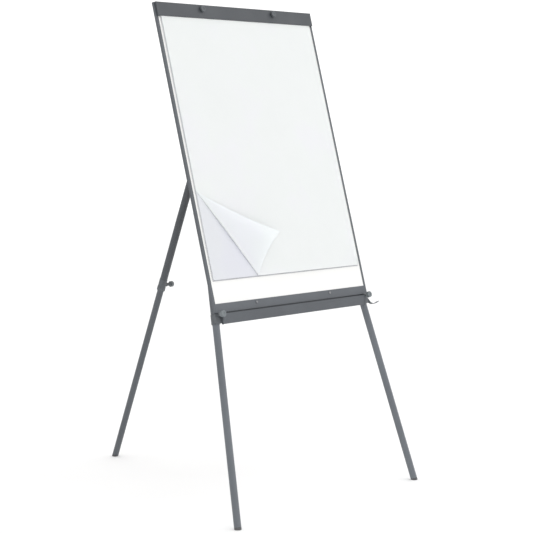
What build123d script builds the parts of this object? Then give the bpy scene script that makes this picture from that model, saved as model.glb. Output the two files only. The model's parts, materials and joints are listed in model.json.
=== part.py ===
from build123d import *
import math
import os

# Flipchart easel: a steel-faced board with a pad clamp along its head and a pen tray along its foot,
# carried by two front legs that telescope in guide tubes behind the board and by one folding,
# telescopic rear leg.  Millimetres, +Z up, +X to the right seen from the front, -Y towards the user.
# Board coordinates used below: x across, n forward off the board's front, s up the slope from the
# top edge of the bottom rail.

# ---- driving dimensions -------------------------------------------------------------------------
BOARD_W = 700.0          # overall board width
BOARD_TOP = 940.0        # top edge of the board above the top edge of the bottom rail
RAIL_H = 27.0            # height of the bottom rail
TILT = 14.7              # backward lean of the board
Z_RAIL = 644.0           # height of the bottom rail's top edge above the floor
TRIM_D = 8.4             # depth of the edge trims
LIP = 9.0                # width of the trims' front lip
FACE_N = -1.0            # writing surface, just behind the trims' front lip
FACE_T = 0.6             # enamelled steel sheet
CORE_T = 2.6             # hardboard core
PANEL_BACK = FACE_N - FACE_T - CORE_T

TUBE_R = 11.0            # front legs and inner rear leg
TUBE_WALL = 1.2
GUIDE_R = 12.5           # guide tubes behind the board
GUIDE_IN = 11.3
SLIDE_GAP = 0.08         # running clearance of the telescopic tubes in their collars
BUSH_GAP = 0.05
LEG_X = 339.0            # leg axis at s = LEG_S
LEG_S = -60.0
LEG_N = -17.0            # leg axis behind the board's front
SPLAY = 6.875            # outward splay of each front leg in the board's plane
LEG_INSERT = 420.0       # length of front leg inside its guide at the stored height
GUIDE_LEN = 955.0        # long enough to hold the leg's upper bush when the leg is pushed right in

HINGE_S = 875.0          # rear hinge pin up the slope
HINGE_N = -35.0
REAR_FOOT_Y = 898.0      # rear foot behind the bottom rail's front top edge
OUTER_R = 12.7
OUTER_IN = 11.3
COLLAR_D = 896.0         # start of the collar, measured down the rear leg from the pin
COLLAR_LEN = 42.0
REAR_INSERT = 250.0
FRONT_SEAT = 6.5         # tube end above the floor, along the leg
REAR_SEAT = 8.5
SOLE_EDGE = 1.2

BAR_H = 44.5             # pad clamp bar
BAR_FRONT = 7.6
BAR_X = 346.0            # half length of the clamp bar over its end caps
CLAMP_X = 159.0
CLAMP_S = 924.5
PAD_W = 664.0
PAD_TOP = 918.0
PAD_BOTTOM = 71.0
PAD_FRONT = 4.0
TRAY_X = 324.6
SCREW_R = 3.0            # M6 clamping screws
KNOB_R = 10.0
FRONT_REACH = 35.4       # leg axis to the middle of its lock knob
REAR_REACH = 42.0
LOCK_S = -33.0

os.makedirs("parts", exist_ok=True)
sin, cos, rad = math.sin, math.cos, math.radians
parts = {}
BOARD = Pos(0, 0, Z_RAIL) * Rot(-TILT, 0, 0)


def box(x0, x1, n0, n1, s0, s1):
    return Pos((x0 + x1) / 2, -(n0 + n1) / 2, (s0 + s1) / 2) * Box(abs(x1 - x0), abs(n1 - n0), abs(s1 - s0))


def cyl_n(x, s, n0, n1, r):
    return Pos(x, -(n0 + n1) / 2, s) * Rot(90, 0, 0) * Cylinder(r, abs(n1 - n0))


def cyl_x(x0, x1, n, s, r):
    return Pos((x0 + x1) / 2, -n, s) * Rot(0, 90, 0) * Cylinder(r, abs(x1 - x0))


def tube(r, ri, z0, z1):
    return Pos(0, 0, (z0 + z1) / 2) * (Cylinder(r, z1 - z0) - Cylinder(ri, z1 - z0 + 2))


def rod(r, z0, z1):
    return Pos(0, 0, (z0 + z1) / 2) * Cylinder(r, z1 - z0)


def leg_frame(side):
    return Pos(side * LEG_X, -LEG_N, LEG_S) * Rot(0, -side * SPLAY, 0)


def leg_x(side, s):
    return side * (LEG_X + (LEG_S - s) * math.tan(rad(SPLAY)))


def bent(points, radius, width, t):
    """A strip of sheet, t thick and as wide as width, folded along points in the (n, s) plane."""
    pts = [(0, -n, s) for n, s in points]
    path = FilletPolyline(*pts, radius=radius)
    start = Plane(origin=path @ 0, z_dir=path % 0, x_dir=(1, 0, 0))
    return sweep(start * Rectangle(width, t), path=path)


def keep(name, shape):
    solids = shape.solids()
    parts[name] = solids[0] if len(solids) == 1 else Compound(children=list(solids))


def on_board(name, shape):
    keep(name, BOARD * shape)


both = (-1, 1)
guide_voids = [leg_frame(d) * rod(GUIDE_R + 0.6, -60, GUIDE_LEN + 60) for d in both]

# ---- board --------------------------------------------------------------------------------------
HALF = BOARD_W / 2
clamp_holes = [cyl_n(d * CLAMP_X, CLAMP_S, -40, 40, 3.5) for d in both]
rail_holes = [cyl_n(d * 168, -9, -40, 40, 2.2) for d in both]
panel_w = HALF - 1.3
face = box(-panel_w, panel_w, FACE_N - FACE_T, FACE_N, -25.8, BOARD_TOP - 1.3)
core = box(-panel_w, panel_w, PANEL_BACK, FACE_N - FACE_T, -25.8, BOARD_TOP - 1.3)
for hole in clamp_holes + rail_holes:
    face -= hole
    core -= hole
on_board("board_face_sheet", face)
on_board("board_core", core)

for d, side in zip(both, ("left", "right")):
    outer = d * HALF
    profile = [(HALF - LIP, 0), (HALF, 0), (HALF, -TRIM_D), (HALF - 12, -TRIM_D), (HALF - 12, -TRIM_D + 1),
               (HALF - 1, -TRIM_D + 1), (HALF - 1, PANEL_BACK - 1.0), (HALF - 9, PANEL_BACK - 1.0), (HALF - 9, PANEL_BACK - 0.05),
               (HALF - 1, PANEL_BACK - 0.05), (HALF - 1, FACE_N + 0.05), (HALF - LIP, FACE_N + 0.05)]
    sk = make_face(Polyline(*[(d * x, -n) for x, n in profile], close=True))
    corners = [v for v in sk.vertices() if abs(abs(v.X) - HALF) < 1e-6]
    sk = fillet(corners, 0.7)
    trim = Pos(0, 0, -RAIL_H) * extrude(sk, BOARD_TOP + RAIL_H)
    for void in guide_voids:
        trim -= void
    on_board("side_trim_" + side, trim)

rail = box(-HALF + LIP, HALF - LIP, FACE_N + 0.05, 0, -RAIL_H, 0) + box(-HALF + LIP, HALF - LIP, PANEL_BACK, 0, -RAIL_H, -RAIL_H + 1)
for hole in rail_holes:
    rail -= hole
on_board("bottom_rail", rail)

top = (box(-HALF + LIP, HALF - LIP, FACE_N + 0.05, 0, 919, BOARD_TOP)
       + box(-HALF + 1, HALF - 1, -TRIM_D + 1, FACE_N + 0.05, BOARD_TOP - 1, BOARD_TOP)
       + box(-HALF + 12.2, HALF - 12.2, -TRIM_D, -TRIM_D + 1, 900, BOARD_TOP)
       + box(-HALF + LIP, HALF - LIP, FACE_N, 0, BOARD_TOP - 1, BOARD_TOP)
       + box(-HALF + 12.2, HALF - 12.2, -TRIM_D, 0, BOARD_TOP - 1, BOARD_TOP))
for d, side in zip(both, ("left", "right")):
    for v in (box(d * (HALF - 9.5), d * HALF, PANEL_BACK - 1.0, PANEL_BACK - 0.05, 890, BOARD_TOP + 1),
              box(d * (HALF - 1), d * (HALF + 1), -20, 5, 890, BOARD_TOP + 1),
              box(d * (HALF - 12), d * (HALF + 1), -20, -TRIM_D + 1, 890, BOARD_TOP + 1)):
        top -= v
for hole in clamp_holes + [cyl_n(x, 920, -40, 0, 2.0) for x in (-32, 32)]:
    top -= hole
on_board("top_rail", top)

# ---- rear frame: guide tubes, sockets and crossbars -------------------------------------------------
for d, side in zip(both, ("left", "right")):
    guide = leg_frame(d) * tube(GUIDE_R, GUIDE_IN, 10, GUIDE_LEN)
    lock_x = leg_x(d, LOCK_S)
    guide -= cyl_n(lock_x, LOCK_S, -15, 10, SCREW_R + 0.05)
    on_board("guide_tube_" + side, guide)

    ring = leg_frame(d) * rod(13.6, 0.5, 30)
    flange = box(d * 327.8, d * HALF, -6, -2, -59, -29) + box(d * 346, d * HALF, -14, -2, -59, -29)
    edges = [e for e in flange.edges().filter_by(Axis.Y) if e.center().Z < -58 and abs(e.center().X) > HALF - 1]
    flange = fillet(edges, 3.5)
    boss = cyl_n(lock_x, LOCK_S, -8, 2, 5.8)
    boss = chamfer(boss.edges().filter_by(GeomType.CIRCLE).sort_by(Axis.Y)[0], 1.0)
    socket = ring + flange + boss
    socket -= leg_frame(d) * rod(GUIDE_R, 10, 80)
    socket -= leg_frame(d) * rod(TUBE_R + SLIDE_GAP, -20, 20)
    socket -= cyl_n(lock_x, LOCK_S, -15, 10, SCREW_R + 0.05)
    if d > 0:
        socket -= cyl_x(HALF - 3.2, HALF + 1, -8, -36, 1.6)
    on_board("leg_socket_" + side, socket)

guides_solid = [leg_frame(d) * rod(GUIDE_R, 0, GUIDE_LEN + 10) for d in both]


def crossbar(n_front, s0, s1, half):
    bar = box(-half, half, n_front - 8, n_front, s0, s1) - box(-half - 1, half + 1, n_front - 6.8, n_front - 1.2, s0 + 1.2, s1 - 1.2)
    for g in guides_solid:
        bar -= g
    return bar.solids().sort_by(SortBy.VOLUME)[-1]


low_bar = crossbar(PANEL_BACK - 1.2, -24, -4, 333)
for d in both:
    low_bar -= cyl_n(d * 168, -9, -40, 0, 2.0)
on_board("crossbar_lower", low_bar)
up_bar = crossbar(PANEL_BACK, 440, 465, 278)
screw_x = (-200, -70, 70, 200)
for x in screw_x:
    up_bar -= cyl_n(x, 452.5, -40, 0, 2.0)
on_board("crossbar_upper", up_bar)
on_board("crossbar_screws", Compound(children=[
    s for x in screw_x for s in (cyl_n(x, 452.5, PANEL_BACK - 10, PANEL_BACK, 2.0) + cyl_n(x, 452.5, PANEL_BACK - 10, PANEL_BACK - 8, 4.0)).solids()]))

# ---- pen tray ---------------------------------------------------------------------------------------
TRAY_T = 1.2
FLANGE_N = PANEL_BACK - TRAY_T / 2
tray = bent([(FLANGE_N, -1), (FLANGE_N, -61), (1.0, -62.6), (10.6, -32.4)], 1.9, 2 * TRAY_X, TRAY_T)
for d in both:
    tray -= cyl_n(d * 168, -9, -40, 0, 2.2)
    tray -= box(d * 317.5, d * 400, -20, PANEL_BACK + 0.3, -59, 5)
on_board("pen_tray", tray)
cap_sk = [(PANEL_BACK + 0.5, -30.5), (9.4, -30.5), (12.0, -32.6), (2.2, -64), (-3.8, -62.2), (PANEL_BACK + 0.5, -60)]
for d, side in zip(both, ("left", "right")):
    f = make_face(Polyline(*[(0, -n, s) for n, s in cap_sk], close=True))
    cap = Pos(d * TRAY_X, 0, 0) * extrude(f, 2.4, dir=(d, 0, 0))
    on_board("tray_end_cap_" + side, cap)
on_board("tray_screws", Compound(children=[
    s for d in both for s in (cyl_n(d * 168, -9, PANEL_BACK - 9, 0, 2.0) + cyl_n(d * 168, -9, 0, 1.8, 4.0)).solids()]))

# accessory hook at the tray's right end, bent from flat strip
hook_pts = [(351, -30), (351, -42), (362.5, -58.5), (372.5, -62.5), (388, -62.5), (405, -57.5)]
hook_path = FilletPolyline(*[(x, 8, s) for x, s in hook_pts], radius=5)
hook_plane = Plane(origin=hook_path @ 0, z_dir=hook_path % 0, x_dir=(0, 1, 0))
hook = sweep(hook_plane * Rectangle(10, 1.9), path=hook_path)
hook -= cyl_x(HALF - 8, HALF + 8, -8, -36, 1.6)
on_board("accessory_hook", hook)
on_board("hook_rivet", cyl_x(HALF - 3.0, HALF + 2, -8, -36, 1.6) + cyl_x(HALF + 1.95, HALF + 3.2, -8, -36, 3.2))


# ---- lock knobs --------------------------------------------------------------------------------------
def knob(hub, height, r=KNOB_R):
    """Fluted knob along +Z: hub from 0, grip above it, blind bore for the screw from below."""
    grip = rod(r, hub, hub + height)
    grip = chamfer(grip.edges().filter_by(GeomType.CIRCLE), 1.0)
    for i in range(10):
        a = rad(36 * i)
        grip -= Pos((r + 1.3) * cos(a), (r + 1.3) * sin(a), 0) * rod(2.2, hub - 1, hub + height + 1)
    body = grip + rod(6.0, 0, hub + 1)
    body -= Pos(0, 0, 0) * rod(SCREW_R, -1, hub + height - 3)
    body -= rod(4.2, hub + height - 0.8, hub + height + 1)
    return body


for d, side in zip(both, ("left", "right")):
    x = leg_x(d, LOCK_S)
    mid = LEG_N + FRONT_REACH
    place = Pos(x, -(mid - 9.5), LOCK_S) * Rot(90, 0, 0)
    on_board("leg_lock_knob_" + side, place * knob(4.0, 11.0))
    on_board("leg_lock_screw_" + side, cyl_n(x, LOCK_S, LEG_N + TUBE_R + 0.3, mid + 2.5, SCREW_R))

# ---- front legs ----------------------------------------------------------------------------------------
leg_z = Z_RAIL + LEG_S * cos(rad(TILT)) + LEG_N * sin(rad(TILT))
LEG_TO_FLOOR = leg_z / (cos(rad(SPLAY)) * cos(rad(TILT)))
floor_cut = Pos(0, 0, 1000) * Box(4000, 4000, 2000)


def foot(z_floor, z_seat):
    """Rubber plug in the lower end of a tube that runs down along -Z: a sole as wide as the tube under a spigot."""
    return rod(TUBE_R, z_floor - 12, z_seat) + rod(TUBE_R - TUBE_WALL, z_seat - 1, z_seat + 22)


def on_floor(solid):
    """Cut a foot to the floor and ease the edge it stands on."""
    cut = solid & floor_cut
    edge = [e for e in cut.edges() if e.center().Z < 0.01 and e.bounding_box().size.Z < 0.01]
    return fillet(edge, SOLE_EDGE)


def plug_bush(z_top):
    """Bush on the upper end of an inner tube: head that rides in the outer tube and a plug into the inner one."""
    return rod(GUIDE_IN - BUSH_GAP, z_top, z_top + 14) + rod(TUBE_R - TUBE_WALL, z_top - 20, z_top + 1)


for d, side in zip(both, ("left", "right")):
    at = BOARD * leg_frame(d)
    top_z = LEG_INSERT - 4
    keep("front_leg_tube_" + side, at * tube(TUBE_R, TUBE_R - TUBE_WALL, -LEG_TO_FLOOR + FRONT_SEAT, top_z))
    keep("front_leg_bush_" + side, at * plug_bush(top_z))
    keep("front_foot_" + side, on_floor(at * foot(-LEG_TO_FLOOR, -LEG_TO_FLOOR + FRONT_SEAT)))

# ---- rear leg --------------------------------------------------------------------------------------------
hinge_y = HINGE_S * sin(rad(TILT)) - HINGE_N * cos(rad(TILT))
hinge_z = Z_RAIL + HINGE_S * cos(rad(TILT)) + HINGE_N * sin(rad(TILT))
REAR_ANGLE = math.degrees(math.atan2(REAR_FOOT_Y - hinge_y, hinge_z))
REAR_LEN = math.hypot(REAR_FOOT_Y - hinge_y, hinge_z)
REAR = Pos(0, hinge_y, hinge_z) * Rot(REAR_ANGLE, 0, 0)

base = box(-45, 45, -TRIM_D - 2, -TRIM_D, 842, 934)
base = fillet(base.edges().filter_by(Axis.Y), 8)
ears = Rot(0, 0, 0) * box(13.5, 15.5, HINGE_N, -TRIM_D - 1, 857, 893) + cyl_x(13.5, 15.5, HINGE_N, HINGE_S, 12)
ears_l = box(-15.5, -13.5, HINGE_N, -TRIM_D - 1, 857, 893) + cyl_x(-15.5, -13.5, HINGE_N, HINGE_S, 12)
bracket = base + ears + ears_l - cyl_x(-20, 20, HINGE_N, HINGE_S, 4.0)
base_screws = [(x, s) for x in (-32, 32) for s in (855, 920)]
for x, s in base_screws:
    bracket -= cyl_n(x, s, -30, 0, 2.0)
on_board("hinge_bracket", bracket)
spacer = box(-55, 55, -TRIM_D, PANEL_BACK, 836, 898)
for x in (-32, 32):
    spacer -= cyl_n(x, 855, -30, 0, 2.0)
on_board("hinge_spacer", spacer)
on_board("hinge_screws", Compound(children=[
    q for x, s in base_screws for q in (cyl_n(x, s, -TRIM_D - 2, PANEL_BACK - 0.1, 2.0) + cyl_n(x, s, -TRIM_D - 4, -TRIM_D - 2, 4.2)).solids()]))
on_board("hinge_pin", cyl_x(-17.5, 17.5, HINGE_N, HINGE_S, 4.0) + cyl_x(15.5, 17.7, HINGE_N, HINGE_S, 6.5) + cyl_x(-17.7, -15.5, HINGE_N, HINGE_S, 6.5))

head = Rot(0, 90, 0) * Cylinder(12.6, 26.4)
neck = Pos(0, 0, -12) * Box(24.0, 22.0, 24) + rod(OUTER_R, -26, -16)
plug = rod(OUTER_IN, -60, -22)
knuckle = REAR * (head + neck + plug) + BOARD * box(-10, 10, HINGE_N, -TRIM_D - 2.06, HINGE_S + 4, HINGE_S + 12)
knuckle -= BOARD * cyl_x(-20, 20, HINGE_N, HINGE_S, 4.05)
keep("rear_leg_knuckle", knuckle)

collar_end = COLLAR_D + COLLAR_LEN
outer_end = collar_end - 13
lock_d = 919.0
outer = tube(OUTER_R, OUTER_IN, -outer_end, -26) - Pos(12, 0, -lock_d) * Rot(0, 90, 0) * Cylinder(SCREW_R + 0.05, 12)
keep("rear_leg_outer_tube", REAR * outer)
sleeve = rod(13.5, -collar_end, -COLLAR_D)
sleeve = fillet(sleeve.edges().filter_by(GeomType.CIRCLE).sort_by(Axis.Z)[-1], 0.8)
sleeve += Pos(0, 0, -collar_end + 6) * Cylinder(14.3, 12) + Pos(0, 0, -collar_end + 14) * Cone(14.3, 13.5, 4)
sleeve += Pos(14, 0, -lock_d) * Rot(0, 90, 0) * Cylinder(7.0, 12) + Pos(25, 0, -lock_d) * Rot(0, 90, 0) * Cylinder(5.4, 12)
sleeve -= rod(OUTER_R, -outer_end, -COLLAR_D + 5)
sleeve -= rod(TUBE_R + SLIDE_GAP, -collar_end - 5, -outer_end + 5)
sleeve -= Pos(20, 0, -lock_d) * Rot(0, 90, 0) * Cylinder(SCREW_R + 0.05, 26)
keep("rear_leg_collar", REAR * sleeve)
keep("rear_leg_lock_knob", REAR * Pos(REAR_REACH - 9.5, 0, -lock_d) * Rot(0, 90, 0) * knob(4.0, 11.0))
r0 = TUBE_R + 0.3
keep("rear_leg_lock_screw", REAR * Pos((r0 + REAR_REACH + 2.5) / 2, 0, -lock_d) * Rot(0, 90, 0) * Cylinder(SCREW_R, REAR_REACH + 2.5 - r0))

inner_top = outer_end - REAR_INSERT
keep("rear_leg_inner_tube", REAR * tube(TUBE_R, TUBE_R - TUBE_WALL, -REAR_LEN + REAR_SEAT, -inner_top))
keep("rear_leg_bush", REAR * plug_bush(-inner_top))
keep("rear_foot", on_floor(REAR * foot(-REAR_LEN, -REAR_LEN + REAR_SEAT)))

# ---- pad clamp ---------------------------------------------------------------------------------------------
t = 1.2
bar = bent([(PAD_FRONT + 0.2, BOARD_TOP - BAR_H + t / 2), (BAR_FRONT - t / 2, BOARD_TOP - BAR_H + t / 2),
            (BAR_FRONT - t / 2, BOARD_TOP - t / 2), (0.3, BOARD_TOP - t / 2)], 1.8, 2 * (BAR_X - 2), t)
for d in both:
    bar -= cyl_n(d * CLAMP_X, CLAMP_S, 0, 20, SCREW_R + 0.3)
on_board("clamp_bar", bar)
on_board("clamp_grip_strip", box(-330, 330, PAD_FRONT + 0.2, BAR_FRONT - t, BOARD_TOP - BAR_H + t + 1.3, BOARD_TOP - BAR_H + t + 8.3))
for d, side in zip(both, ("left", "right")):
    cap = box(d * (BAR_X - 2), d * BAR_X, 0.3, BAR_FRONT, BOARD_TOP - BAR_H, BOARD_TOP)
    cap = fillet([e for e in cap.edges().filter_by(Axis.X) if e.center().Y < -5], 1.8)
    on_board("clamp_end_cap_" + side, cap + box(d * (BAR_X - 8), d * BAR_X, 2.5, BAR_FRONT - t, BOARD_TOP - BAR_H + t + 9, BOARD_TOP - t - 1.5))
    place = Pos(d * CLAMP_X, -(BAR_FRONT + 0.1), CLAMP_S) * Rot(90, 0, 0)
    on_board("clamp_knob_" + side, place * knob(1.9, 6.8))
    on_board("clamp_screw_" + side, cyl_n(d * CLAMP_X, CLAMP_S, -19, BAR_FRONT + 5.8, SCREW_R))
on_board("clamp_nuts", Compound(children=[
    s for d in both for s in (cyl_n(d * CLAMP_X, CLAMP_S, -TRIM_D - 5, -TRIM_D, 6.0) - cyl_n(d * CLAMP_X, CLAMP_S, -20, 0, SCREW_R + 0.05)).solids()]))

# ---- paper pad -----------------------------------------------------------------------------------------------
PW = PAD_W / 2
on_board("pad_backing_board", box(-PW, PW, FACE_N + 0.05, -0.15, PAD_BOTTOM - 3, PAD_TOP))
on_board("pad_sheets", box(-PW, PW, -0.15, PAD_FRONT - 0.3, PAD_BOTTOM, PAD_TOP))
fold_a, fold_b = (-332.0, 345.0), (-143.0, 71.0)
sheet = box(-PW, PW, PAD_FRONT - 0.3, PAD_FRONT, PAD_BOTTOM, PAD_TOP)
corner = make_face(Polyline((fold_a[0] - 2, 0, fold_a[1] + 3), (fold_b[0] + 2, 0, fold_b[1] - 3), (-336, 0, 66), close=True))
sheet -= extrude(corner, 20, dir=(0, -1, 0), both=True)
on_board("pad_top_sheet", sheet)
length = math.hypot(fold_b[0] - fold_a[0], fold_b[1] - fold_a[1])
ux, us = (fold_b[0] - fold_a[0]) / length, (fold_b[1] - fold_a[1]) / length
lift = rad(8.0)
plane = Plane(origin=(fold_a[0], -(PAD_FRONT + 0.4), fold_a[1]), x_dir=(ux, 0, us),
              z_dir=(us * sin(lift), -cos(lift), -ux * sin(lift)))
flap_pts = []
for x, s in (fold_a, (-167, 268), (-30, 200), (-72, 146), fold_b):
    dx, ds = x - fold_a[0], s - fold_a[1]
    flap_pts.append((dx * ux + ds * us, abs(dx * us - ds * ux)))
flap = make_face(Polyline(*[(a, b) for a, b in flap_pts], close=True))
flap = plane * flap
on_board("pad_curled_corner", extrude(flap, 0.8, dir=tuple(plane.z_dir)))

# ---- origin on the floor, midway between the feet, and output ----------------------------------------------------
boxes = [p.bounding_box() for p in parts.values()]
y_mid = (min(b.min.Y for b in boxes) + max(b.max.Y for b in boxes)) / 2
for name, shape in parts.items():
    export_step(Pos(0, -y_mid, 0) * shape, "parts/" + name + ".step")
print("y_mid", y_mid, "rear angle", REAR_ANGLE, "rear length", REAR_LEN, "front leg", LEG_TO_FLOOR, "hinge", hinge_y - y_mid, hinge_z)
print("x", min(b.min.X for b in boxes), max(b.max.X for b in boxes), "z", min(b.min.Z for b in boxes), max(b.max.Z for b in boxes))
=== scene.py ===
import json
import math
import random

import bmesh
import bpy
from mathutils import Matrix, Vector


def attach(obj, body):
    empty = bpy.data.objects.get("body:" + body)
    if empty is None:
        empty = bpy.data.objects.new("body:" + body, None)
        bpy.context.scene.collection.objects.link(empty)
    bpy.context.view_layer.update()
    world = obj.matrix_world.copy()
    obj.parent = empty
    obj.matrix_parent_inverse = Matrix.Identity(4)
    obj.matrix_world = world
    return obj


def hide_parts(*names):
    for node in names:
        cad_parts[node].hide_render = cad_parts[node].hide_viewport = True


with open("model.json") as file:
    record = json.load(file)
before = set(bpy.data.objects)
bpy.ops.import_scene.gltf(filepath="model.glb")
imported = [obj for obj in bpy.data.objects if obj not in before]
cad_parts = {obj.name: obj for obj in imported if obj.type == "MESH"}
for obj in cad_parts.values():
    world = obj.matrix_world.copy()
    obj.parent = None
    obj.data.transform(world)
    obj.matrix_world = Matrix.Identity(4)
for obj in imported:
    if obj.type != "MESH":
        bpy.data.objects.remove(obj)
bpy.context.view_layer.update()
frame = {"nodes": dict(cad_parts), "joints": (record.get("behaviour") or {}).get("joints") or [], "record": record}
nodes = frame["nodes"]
scene = bpy.context.scene
scene.view_settings.view_transform = "Standard"
scene.view_settings.look = "None"

# ---- the board's own axes: x across, s up the slope, n out of the face -------------------------------------------
joint = {j["name"]: j for j in frame["joints"]}
XH = Vector((1, 0, 0))
NH = Vector(joint["clamp_open"]["axis"]).normalized()
SH = NH.cross(XH)
if SH.z < 0:
    SH.negate()


def span(node, axis):
    d = [v.co.dot(axis) for v in nodes[node].data.vertices]
    return min(d), max(d)


S0 = span("bottom_rail", SH)[1]
N0 = span("bottom_rail", NH)[1]


def at(x, s, n):
    """A point in the row frame, from millimetres in the board's own axes."""
    return XH * (x / 1000) + SH * (S0 + s / 1000) + NH * (N0 + n / 1000)


def local(node):
    """((x0, x1), (s0, s1), (n0, n1)) of a CAD node in millimetres in the board's own axes."""
    return (tuple(1000 * v for v in span(node, XH)), tuple(1000 * (v - S0) for v in span(node, SH)),
            tuple(1000 * (v - N0) for v in span(node, NH)))


# ---- material kit ------------------------------------------------------------------------------------------------
def hue(r, g, b):
    """sRGB 0-255 to linear."""
    out = []
    for c in (r, g, b):
        c /= 255
        out.append(c / 12.92 if c <= 0.04045 else ((c + 0.055) / 1.055) ** 2.4)
    return (*out, 1.0)


class Kit:
    """Small helper round one material's node tree."""

    def __init__(self, name):
        self.mat = bpy.data.materials.new(name)
        self.mat.use_nodes = True
        self.t = self.mat.node_tree
        self.t.nodes.clear()
        self.out = self.t.nodes.new("ShaderNodeOutputMaterial")
        self.sh = self.t.nodes.new("ShaderNodeBsdfPrincipled")
        self.t.links.new(self.sh.outputs[0], self.out.inputs[0])
        self.co = self.t.nodes.new("ShaderNodeTexCoord").outputs["Object"]

    def link(self, a, b):
        self.t.links.new(a, b)

    def put(self, socket, value):
        if isinstance(value, bpy.types.NodeSocket):
            self.link(value, socket)
        else:
            socket.default_value = value

    def stretch(self, sx, sy, sz, rot=(0, 0, 0)):
        m = self.t.nodes.new("ShaderNodeMapping")
        m.inputs["Scale"].default_value = (sx, sy, sz)
        m.inputs["Rotation"].default_value = rot
        self.link(self.co, m.inputs["Vector"])
        return m.outputs[0]

    def noise(self, scale, detail=3.0, rough=0.5, vec=None, distort=0.0):
        n = self.t.nodes.new("ShaderNodeTexNoise")
        n.inputs["Scale"].default_value = scale
        n.inputs["Detail"].default_value = detail
        n.inputs["Roughness"].default_value = rough
        n.inputs["Distortion"].default_value = distort
        self.link(vec or self.co, n.inputs["Vector"])
        return n.outputs["Fac"]

    def cells(self, scale, vec=None):
        n = self.t.nodes.new("ShaderNodeTexVoronoi")
        n.inputs["Scale"].default_value = scale
        self.link(vec or self.co, n.inputs["Vector"])
        return n.outputs["Distance"]

    def ramp(self, fac, stops):
        r = self.t.nodes.new("ShaderNodeValToRGB")
        e = r.color_ramp.elements
        while len(e) < len(stops):
            e.new(0.5)
        for i, (p, c) in enumerate(stops):
            e[i].position = p
            e[i].color = c if hasattr(c, "__len__") else (c, c, c, 1)
        self.link(fac, r.inputs[0])
        return r.outputs[0]

    def remap(self, fac, a, b, c, d):
        m = self.t.nodes.new("ShaderNodeMapRange")
        for i, v in ((1, a), (2, b), (3, c), (4, d)):
            m.inputs[i].default_value = v
        self.link(fac, m.inputs[0])
        return m.outputs[0]

    def math(self, op, a, b=0.0, clamp=False):
        m = self.t.nodes.new("ShaderNodeMath")
        m.operation = op
        m.use_clamp = clamp
        self.put(m.inputs[0], a)
        self.put(m.inputs[1], b)
        return m.outputs[0]

    def mix(self, fac, a, b, kind="MIX"):
        m = self.t.nodes.new("ShaderNodeMix")
        m.data_type = "RGBA"
        m.blend_type = kind
        self.put(m.inputs[0], fac)
        self.put(m.inputs[6], a)
        self.put(m.inputs[7], b)
        return m.outputs[2]

    def part(self, which):
        s = self.t.nodes.new("ShaderNodeSeparateXYZ")
        self.link(self.co, s.inputs[0])
        return s.outputs[which]

    def along(self, axis):
        """Distance along an axis of the row frame, in metres."""
        v = self.t.nodes.new("ShaderNodeVectorMath")
        v.operation = "DOT_PRODUCT"
        self.link(self.co, v.inputs[0])
        v.inputs[1].default_value = tuple(axis)
        return v.outputs["Value"]

    def edges(self, radius):
        """0 on flat ground, rising towards 1 on sharp edges."""
        b = self.t.nodes.new("ShaderNodeBevel")
        b.samples = 6
        b.inputs["Radius"].default_value = radius
        g = self.t.nodes.new("ShaderNodeNewGeometry")
        d = self.t.nodes.new("ShaderNodeVectorMath")
        d.operation = "DOT_PRODUCT"
        self.link(b.outputs[0], d.inputs[0])
        self.link(g.outputs["Normal"], d.inputs[1])
        return self.remap(d.outputs["Value"], 0.995, 0.80, 0.0, 1.0)

    def bump(self, *layers):
        """layers of (height, depth in metres, strength), the last on top."""
        n = None
        for height, depth, strength in layers:
            b = self.t.nodes.new("ShaderNodeBump")
            b.inputs["Strength"].default_value = strength
            b.inputs["Distance"].default_value = depth
            self.link(height, b.inputs["Height"])
            if n:
                self.link(n, b.inputs["Normal"])
            n = b.outputs[0]
        self.link(n, self.sh.inputs["Normal"])

    def set(self, **values):
        for key, v in values.items():
            self.put(self.sh.inputs[key.replace("_", " ")], v)
        return self.mat


def shade(c, k):
    return (c[0] * k, c[1] * k, c[2] * k, 1)


def powder_coat(name, base, rough=0.46, grain=520, wear=0.55):
    """Satin powder coat: orange peel, drift in tone, dust lying in it and edges rubbed lighter."""
    k = Kit(name)
    drift = k.ramp(k.noise(5.0, 4, 0.55), [(0.30, shade(base, 0.90)), (0.50, base), (0.72, shade(base, 1.10))])
    fleck = k.remap(k.noise(1900, 2), 0.35, 0.65, 0.93, 1.07)
    tone = k.mix(1.0, drift, fleck, "MULTIPLY")
    rub = k.math("MULTIPLY", k.edges(0.0013), k.remap(k.noise(95, 5, 0.62), 0.42, 0.62, 0.0, 1.0), True)
    tone = k.mix(k.math("MULTIPLY", rub, wear), tone, shade(base, 2.1))
    scuff = k.remap(k.noise(34, 6, 0.7, k.stretch(1, 1, 0.25)), 0.62, 0.78, 0.0, 0.16)
    tone = k.mix(scuff, tone, shade(base, 1.45))
    k.bump((k.noise(grain, 3, 0.55), 0.00012, 0.32), (k.cells(1500), 0.00003, 0.18))
    r = k.remap(k.noise(18, 5, 0.6), 0.3, 0.7, rough - 0.05, rough + 0.09)
    return k.set(Base_Color=tone, Roughness=r, Specular_IOR_Level=0.42)


def enamel():
    """Gloss dry-wipe face: even white, wiped streaks in the gloss and the faintest grey of old ink."""
    k = Kit("enamel_white")
    white, ghost = hue(240, 240, 238), hue(229, 231, 233)
    streak = k.noise(9, 5, 0.6, k.stretch(0.7, 3.0, 0.9, (0.25, 0.1, 0.35)), 0.6)
    tone = k.mix(k.remap(streak, 0.58, 0.80, 0.0, 0.30), white, ghost)
    k.bump((k.noise(60, 2, 0.4), 0.00006, 0.12), (k.noise(700, 2, 0.5), 0.00001, 0.10))
    return k.set(Base_Color=tone, Roughness=k.remap(streak, 0.3, 0.75, 0.14, 0.30), Coat_Weight=0.35, Coat_Roughness=0.08)


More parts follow.
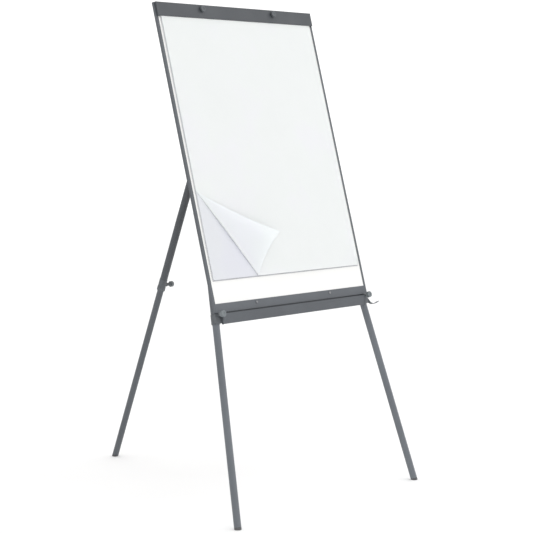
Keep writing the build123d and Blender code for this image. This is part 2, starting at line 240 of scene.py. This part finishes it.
def paper(name, base, warm, depth=0.00005, thin=0.0):
    """Uncoated pad paper: fibre, cloudy formation and a slow cockle from handling."""
    k = Kit(name)
    cloud = k.ramp(k.noise(4.2, 4, 0.55), [(0.30, warm), (0.52, base), (0.75, shade(base, 0.985))])
    fibre = k.remap(k.noise(900, 4, 0.65, k.stretch(1, 1, 0.35)), 0.3, 0.7, 0.985, 1.012)
    k.bump((k.noise(7.5, 2, 0.4), 0.0016, 0.10), (k.noise(620, 4, 0.6), depth, 0.20))
    k.set(Subsurface_Weight=thin, Subsurface_Scale=0.0006, Subsurface_Radius=(1.0, 1.0, 1.0))
    return k.set(Base_Color=k.mix(1.0, cloud, fibre, "MULTIPLY"), Roughness=k.remap(k.noise(240, 2), 0.3, 0.7, 0.78, 0.90), Specular_IOR_Level=0.28)


def page_edges(name, gap_shade, mid, top):
    """The trimmed edge of the block: leaf on leaf in varied tone, with painted shade in the openings between leaves and
    in patches where the stack has opened.
    """
    k = Kit(name)
    depth = k.along(NH)
    leaf = k.t.nodes.new("ShaderNodeTexNoise")
    leaf.noise_dimensions = "1D"
    leaf.inputs["Scale"].default_value = 9000
    leaf.inputs["Detail"].default_value = 2
    k.link(depth, leaf.inputs["W"])
    lines = leaf.outputs["Fac"]
    tone = k.ramp(lines, [(0.34, gap_shade), (0.50, mid), (0.66, top)])
    tone = k.mix(k.remap(k.noise(40, 4), 0.55, 0.75, 0.0, 0.25), tone, gap_shade)
    k.bump((lines, 0.00008, 0.55))
    return k.set(Base_Color=tone, Roughness=k.remap(lines, 0.3, 0.7, 0.92, 0.80), Specular_IOR_Level=0.22)


def pasteboard():
    k = Kit("pasteboard_grey")
    fleck = k.ramp(k.noise(420, 5, 0.7), [(0.34, hue(172, 173, 178)), (0.5, hue(197, 198, 202)), (0.70, hue(213, 213, 216))])
    tone = k.mix(k.remap(k.noise(12, 3), 0.4, 0.7, 0.0, 0.3), fleck, hue(190, 188, 186))
    k.bump((k.noise(380, 4, 0.65), 0.0001, 0.35))
    return k.set(Base_Color=tone, Roughness=k.remap(k.noise(60, 3), 0.3, 0.7, 0.82, 0.94))


def hardboard():
    """Back of the board: pressed fibre with a screen-like weave and rubbed patches."""
    k = Kit("hardboard_brown")
    fibre = k.ramp(k.noise(260, 6, 0.7), [(0.30, hue(74, 52, 36)), (0.50, hue(112, 82, 57)), (0.72, hue(146, 112, 80))])
    tone = k.mix(k.remap(k.noise(5, 4, 0.6), 0.42, 0.70, 0.0, 0.45), fibre, hue(96, 70, 50))
    screen = k.math("MAXIMUM", k.cells(520), k.noise(900, 2))
    k.bump((screen, 0.00018, 0.40), (k.noise(30, 3), 0.0003, 0.12))
    return k.set(Base_Color=tone, Roughness=k.remap(k.noise(45, 4), 0.3, 0.7, 0.58, 0.80), Specular_IOR_Level=0.35)


def moulding(name, base, rough=0.52, grain=1300, wear=0.35):
    """Spark-eroded plastic: fine grain, gate-side sheen drift and polished edges."""
    k = Kit(name)
    drift = k.ramp(k.noise(26, 4, 0.55), [(0.32, shade(base, 0.88)), (0.5, base), (0.70, shade(base, 1.16))])
    rub = k.math("MULTIPLY", k.edges(0.0008), k.remap(k.noise(150, 4), 0.40, 0.60, 0.2, 1.0), True)
    tone = k.mix(k.math("MULTIPLY", rub, wear), drift, shade(base, 2.0))
    k.bump((k.cells(grain), 0.00006, 0.35), (k.noise(2600, 2), 0.00003, 0.25))
    return k.set(Base_Color=tone, Roughness=k.math("SUBTRACT", k.remap(k.noise(90, 4), 0.3, 0.7, rough - 0.04, rough + 0.10), k.math("MULTIPLY", rub, 0.12)), Specular_IOR_Level=0.45)


def rubber(name, dusty):
    """Moulded rubber, greyed by floor dust towards its contact edge when dusty."""
    k = Kit(name)
    base, dust = hue(84, 86, 89) if dusty else hue(30, 30, 32), hue(112, 111, 109)
    tone = k.ramp(k.noise(70, 5, 0.6), [(0.35, shade(base, 0.8)), (0.65, shade(base, 1.5))])
    if dusty:
        low = k.remap(k.part(2), 0.0, 0.022, 0.75, 0.0)
        tone = k.mix(k.math("MULTIPLY", low, k.remap(k.noise(180, 5, 0.65), 0.35, 0.62, 0.0, 1.0), True), tone, dust)
    k.bump((k.noise(340, 4, 0.6), 0.0002, 0.35))
    return k.set(Base_Color=tone, Roughness=k.remap(k.noise(120, 3), 0.3, 0.7, 0.74, 0.92), Specular_IOR_Level=0.35)


def zinc(name, k0=1.0):
    """Bright zinc plate: drawn streaks, cloudy passivation and dull spots."""
    k = Kit(name)
    tone = k.ramp(k.noise(55, 5, 0.6), [(0.30, shade(hue(150, 151, 158), k0)), (0.50, shade(hue(196, 197, 202), k0)), (0.72, shade(hue(214, 211, 203), k0))])
    k.bump((k.noise(600, 3, 0.5, k.stretch(1, 1, 6)), 0.00004, 0.30))
    return k.set(Base_Color=tone, Metallic=1.0, Roughness=k.remap(k.noise(130, 4), 0.3, 0.7, 0.24, 0.46))


SLATE = hue(89, 93, 98)
mats = {
    "slate_paint": powder_coat("powder_slate", SLATE),
    "white_enamel": enamel(),
    "hardboard": hardboard(),
    # the block's face shows only under the curled corner; its paper is a darker copy of the page paper, painted shade
    # under the curl
    "paper": paper("paper_page_painted_shade", hue(217, 219, 223), hue(216, 217, 225)),
    "grey_board": pasteboard(),
    "grey_plastic": moulding("plastic_slate", hue(92, 96, 100)),
    "black_plastic": moulding("plastic_charcoal", hue(88, 92, 96), 0.48),
    "black_rubber": rubber("rubber_grip", False),
    "zinc_steel": zinc("zinc_plate"),
}
foot_rubber = rubber("rubber_foot", True)
# a darker copy of the zinc for the tray screws, matched to their dark grey look
dark_zinc = zinc("zinc_plate_dark", 0.45)
# the lock knobs in a lighter plastic than the charcoal: painted light, standing for the light their faces catch
lit_lock_plastic = moulding("plastic_lock_knob_painted_light", hue(112, 118, 121), 0.46)
# the back of the top page, seen on the lifted flap, is a darker copy of the page paper: painted shade on the curl
shaded_leaf_back = paper("paper_leaf_back_painted_shade", hue(233, 238, 240), hue(234, 236, 243), thin=0.45)
leaf_paper = paper("paper_leaf", hue(241, 245, 244), hue(242, 243, 247), thin=0.45)
side_edges = page_edges("paper_block_sides", hue(224, 227, 230), hue(236, 238, 240), hue(242, 243, 245))
# the bottom edge of the block in darker tones than its sides: painted shadow under the pad
foot_edges_shadowed = page_edges("paper_block_foot_painted_shadow", hue(182, 185, 190), hue(208, 211, 215), hue(224, 226, 229))

# Tone of each coated part relative to SLATE, tuned by sampling from the main view. The rear outer tube is darkened as
# painted shade, standing for the board's shadow on it, and the front leg tubes are lightened as painted light, making
# up for the dim side of them that the view sees. The bar and tray are darker and the rail and rear inner tube lighter;
# what makes the real parts differ there isn't known.
TONES = {"tray": (0.90, ("pen_tray", "tray_end_cap_left", "tray_end_cap_right")),
           "bar": (0.68, ("clamp_bar", "clamp_end_cap_left", "clamp_end_cap_right")),
           "rail": (1.08, ("bottom_rail",)),
           "legs": (1.42, ("front_leg_tube_left", "front_leg_tube_right")),
           "rear_outer": (0.75, ("rear_leg_outer_tube",)),
           "rear_inner": (1.03, ("rear_leg_inner_tube",))}
toned = {}
for name, (k, members) in TONES.items():
    coat = powder_coat("powder_slate_" + name, shade(SLATE, k))
    toned.update({member: coat for member in members})

slot_of = {s["node"]: s["material_slot"] for s in frame["record"]["subparts"]}
for name, obj in nodes.items():
    m = foot_rubber if "foot" in name else toned.get(name, mats[slot_of[name]])
    if "lock_knob" in name:
        m = lit_lock_plastic
    elif name == "tray_screws":
        m = dark_zinc
    for ms in obj.material_slots:
        ms.material = m


# ---- the paper pad -----------------------------------------------------------------------------------------------
def piece(name, verts, faces, body, materials, smooth=True, pick=None):
    me = bpy.data.meshes.new(name)
    me.from_pydata([tuple(v) for v in verts], [], faces)
    me.validate()
    me.update()
    ob = bpy.data.objects.new(name, me)
    scene.collection.objects.link(ob)
    for m in materials:
        me.materials.append(m)
    for p in me.polygons:
        p.use_smooth = smooth
        if pick:
            p.material_index = pick(p)
    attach(ob, body)
    return ob


rng = random.Random(11)
(PX0, PX1), (PS0, PS1), (PN0, PN1) = local("pad_sheets")
PAGE_N = local("pad_top_sheet")[2][1]

# The block: many thin gatherings, each cut a hair out of line with the next, so its edges aren't one plane.
verts, faces = [], []
GATHERINGS = 22
for i in range(GATHERINGS):
    n0 = PN0 + (PN1 - PN0) * i / GATHERINGS
    n1 = PN0 + (PN1 - PN0) * (i + 0.90) / GATHERINGS
    a, b, c = (rng.uniform(0.0, 0.32) for _ in range(3))
    rows = 28
    base = len(verts)
    for j in range(rows + 1):
        s = PS0 + c + (PS1 - PS0 - c) * j / rows
        wave = 0.10 * math.sin(j * 0.9 + i * 0.7)
        for x, n in ((PX0 + a + wave * 0.5 + 0.05, n0), (PX1 - b + wave * 0.5 - 0.05, n0), (PX1 - b + wave * 0.5 - 0.05, n1), (PX0 + a + wave * 0.5 + 0.05, n1)):
            verts.append(at(x, s, n))
    for j in range(rows):
        p, q = base + 4 * j, base + 4 * j + 4
        for e in range(4):
            f = (e + 1) % 4
            faces.append((p + e, p + f, q + f, q + e))
    faces.append((base + 3, base + 2, base + 1, base))
    t = base + 4 * rows
    faces.append((t, t + 1, t + 2, t + 3))
# its face takes the darker page paper, painted shade under the curl, and its bottom edge the painted shadow under the
# pad
block = piece("pad_block", verts, faces, "board", [mats["paper"], side_edges, foot_edges_shadowed], smooth=False,
              pick=lambda p: 0 if abs(p.normal.dot(NH)) > 0.7 else 1 if abs(p.normal.dot(XH)) > 0.7 else 2)
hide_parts("pad_sheets")


# The top page and its lifted corner, one continuous leaf. The fold runs from FA on the left edge to FB on the bottom
# edge. Past it the leaf turns over on a bend that opens towards FB, and lies back across the page, rising to its tip.
FA, FB = Vector((PX0, 345.0)), Vector((-143.0, PS0))
TIP = Vector((-31.0, 199.0))
LEAF = PAGE_N + 0.05
fold = FB - FA
fold_len = fold.length
along = fold / fold_len
inward = Vector((-along.y, along.x))
if inward.dot(TIP - FA) < 0:
    inward = -inward


def bezier(p, q, r, t):
    return p * (1 - t) ** 2 + q * 2 * t * (1 - t) + r * t * t


def outline(t):
    """Free edge of the flap, from FA round its tip to FB."""
    cut = 0.66
    if t < cut:
        return bezier(FA, Vector((-196.0, 262.0)), TIP, t / cut)
    u = (t - cut) / (1 - cut)
    return bezier(TIP, Vector((-96.0, 152.0)), FB, u)


ROWS, TURN, FLAP = 64, 12, 22
verts, faces, grid = [], [], []
for i in range(ROWS + 1):
    t = i / ROWS
    # rows fan out from the fold to the free edge
    root = FA + fold * t
    edge = outline(t)
    r = 0.25 + 3.6 * math.sin(math.pi * min(1.0, t * 0.86 + 0.02)) ** 1.15
    if t > 0.86:
        r = max(r, 2.2)
    r = min(r, 0.4 + 14 * t)
    row = []
    span_in = edge - root
    dist = max(span_in.length, 1e-6)
    way = span_in / dist if dist > 0.5 else inward
    r = min(r, 0.30 * dist + 0.12)
    # the bend: from the page plane, out round the fold edge, to the flap's root
    for j in range(TURN + 1):
        a = math.pi * j / TURN
        off = r * (1 - math.sin(a))
        row.append((root + way * off, LEAF + r * (1 - math.cos(a))))
    rest = max(dist - r, 0.0)
    for j in range(1, FLAP + 1):
        u = j / FLAP
        d = r + rest * u
        reach = d / 165.0
        crown = 2.2 * math.sin(math.pi * u) * min(1.0, dist / 90)
        row.append((root + way * d, LEAF + 2 * r + 15.0 * reach ** 1.35 + crown))
    grid.append(row)
for row in grid:
    verts.extend(at(p.x, p.y, n) for p, n in row)
W = TURN + FLAP + 1
for i in range(ROWS):
    for j in range(W - 1):
        a = i * W + j
        faces.append((a, a + 1, a + W + 1, a + W))

# the flat part, from the bend's lower line to the page's other three edges
flat_start = len(verts)
lower = [Vector((row[0][0].x, row[0][0].y)) for row in grid]
COLS = 30
corner = Vector((PX1, PS1))


def far(t):
    """Point on the page's far boundary: up the left edge, along the top, down the right edge, back along the bottom."""
    path = [FA, Vector((PX0, PS1)), Vector((PX1, PS1)), Vector((PX1, PS0)), FB]
    lens = [(path[k + 1] - path[k]).length for k in range(4)]
    d = t * sum(lens)
    for k in range(4):
        if d <= lens[k] or k == 3:
            return path[k].lerp(path[k + 1], min(1.0, d / lens[k]))
        d -= lens[k]


lens = [PS1 - FA.y, PX1 - PX0, PS1 - PS0, PX1 - FB.x]
total = sum(lens)
stops = {round(ROWS * sum(lens[:k]) / total): sum(lens[:k]) / total for k in (1, 2, 3)}
for i in range(ROWS + 1):
    t = stops.get(i, i / ROWS)
    e = far(t)
    for j in range(1, COLS + 1):
        u = j / COLS
        p = lower[i].lerp(e, u)
        # the leaf lies a hair proud at its free lower edge and is held flat at the clamp
        free = max(0.0, 1 - (p.y - PS0) / 420)
        sway = 0.5 + 0.5 * math.sin(p.x * 0.013 + 0.8)
        fade = min(1.0, (p - lower[i]).length / 60)
        verts.append(at(p.x, p.y, LEAF + fade * free ** 2.2 * (0.3 + 1.1 * sway)))
for i in range(ROWS):
    a0, b0 = i * W, (i + 1) * W
    for j in range(COLS):
        a = a0 if j == 0 else flat_start + i * COLS + j - 1
        b = b0 if j == 0 else flat_start + (i + 1) * COLS + j - 1
        a2 = flat_start + i * COLS + j
        b2 = flat_start + (i + 1) * COLS + j
        faces.append((a, b, b2, a2))
page = piece("top_page", verts, faces, "board", [leaf_paper, shaded_leaf_back],
             pick=lambda p: 1 if p.index < ROWS * (W - 1) and p.index % (W - 1) >= TURN else 0)
bm = bmesh.new()
bm.from_mesh(page.data)
bmesh.ops.remove_doubles(bm, verts=bm.verts, dist=1e-6)
bmesh.ops.recalc_face_normals(bm, faces=bm.faces)
bm.to_mesh(page.data)
bm.free()
solid = page.modifiers.new("leaf", "SOLIDIFY")
solid.thickness = 0.00012
solid.offset = 0.0
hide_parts("pad_top_sheet", "pad_curled_corner")

# ---- camera ------------------------------------------------------------------------------------------------------
yaw, pitch, roll = 0.79800, -0.08514, -0.01564
fwd = Vector((math.sin(yaw) * math.cos(pitch), math.cos(yaw) * math.cos(pitch), math.sin(pitch)))
right = Vector((math.cos(yaw), -math.sin(yaw), 0))
up = right.cross(fwd)
r2 = right * math.cos(roll) + up * math.sin(roll)
u2 = up * math.cos(roll) - right * math.sin(roll)
cam_data = bpy.data.cameras.new("view")
cam_data.sensor_width = 36
cam_data.lens = 1439.49 / 533 * 36
cam_data.clip_end = 60
cam = bpy.data.objects.new("view", cam_data)
m = Matrix.Identity(4)
for i, v in enumerate((r2, u2, -fwd)):
    for j in range(3):
        m[j][i] = v[j]
m.translation = Vector((-3.28878, -3.46344, 1.11842))
cam.matrix_world = m
scene.collection.objects.link(cam)
scene.camera = cam

# ---- floor and light ---------------------------------------------------------------------------------------------
me = bpy.data.meshes.new("floor")
me.from_pydata([(-14, -14, 0), (14, -14, 0), (14, 14, 0), (-14, 14, 0)], [], [(0, 1, 2, 3)])
floor = bpy.data.objects.new("floor", me)
scene.collection.objects.link(floor)
k = Kit("floor_pale")
fm = k.set(Base_Color=k.ramp(k.noise(3, 3), [(0.3, hue(251, 251, 251)), (0.7, hue(253, 253, 253))]), Roughness=0.9, Specular_IOR_Level=0.1)
me.materials.append(fm)

# A white tent, brighter towards its upper right side, so that the light is soft and leaves no hard shadow on the floor.
world = bpy.data.worlds.new("studio")
scene.world = world
world.use_nodes = True
wt = world.node_tree
lean = wt.nodes.new("ShaderNodeVectorMath")
lean.operation = "DOT_PRODUCT"
lean.inputs[1].default_value = tuple(Vector((0.86, -0.12, 0.50)).normalized())
wt.links.new(wt.nodes.new("ShaderNodeTexCoord").outputs["Generated"], lean.inputs[0])
level = wt.nodes.new("ShaderNodeMapRange")
for i, v in ((1, -1.0), (2, 1.0), (3, 0.58), (4, 1.38)):
    level.inputs[i].default_value = v
wt.links.new(lean.outputs["Value"], level.inputs[0])
# an even white band round the horizon, so the backdrop is the same from every side
height = wt.nodes.new("ShaderNodeSeparateXYZ")
wt.links.new(lean.inputs[0].links[0].from_socket, height.inputs[0])
band = wt.nodes.new("ShaderNodeMapRange")
for i, v in ((1, 0.16), (2, 0.34), (3, 1.02), (4, 0.0)):
    band.inputs[i].default_value = v
wt.links.new(height.outputs[2], band.inputs[0])
most = wt.nodes.new("ShaderNodeMath")
most.operation = "MAXIMUM"
wt.links.new(level.outputs[0], most.inputs[0])
wt.links.new(band.outputs[0], most.inputs[1])
wt.nodes["Background"].inputs[0].default_value = (1.0, 1.0, 1.0, 1)
wt.links.new(most.outputs[0], wt.nodes["Background"].inputs[1])


def softbox(name, place, aim, size, power):
    d = bpy.data.lights.new(name, "AREA")
    d.shape = "RECTANGLE"
    d.size, d.size_y = size
    d.energy = power
    o = bpy.data.objects.new(name, d)
    o.location = place
    o.rotation_mode = "QUATERNION"
    o.rotation_quaternion = (Vector(aim) - Vector(place)).to_track_quat("-Z", "Y")
    scene.collection.objects.link(o)


softbox("key", (2.6, -3.6, 3.4), (0, 0, 0.9), (2.0, 2.0), 12)
softbox("fill", (-4.2, -3.4, 2.4), (0, 0, 0.9), (2.4, 2.4), 4)
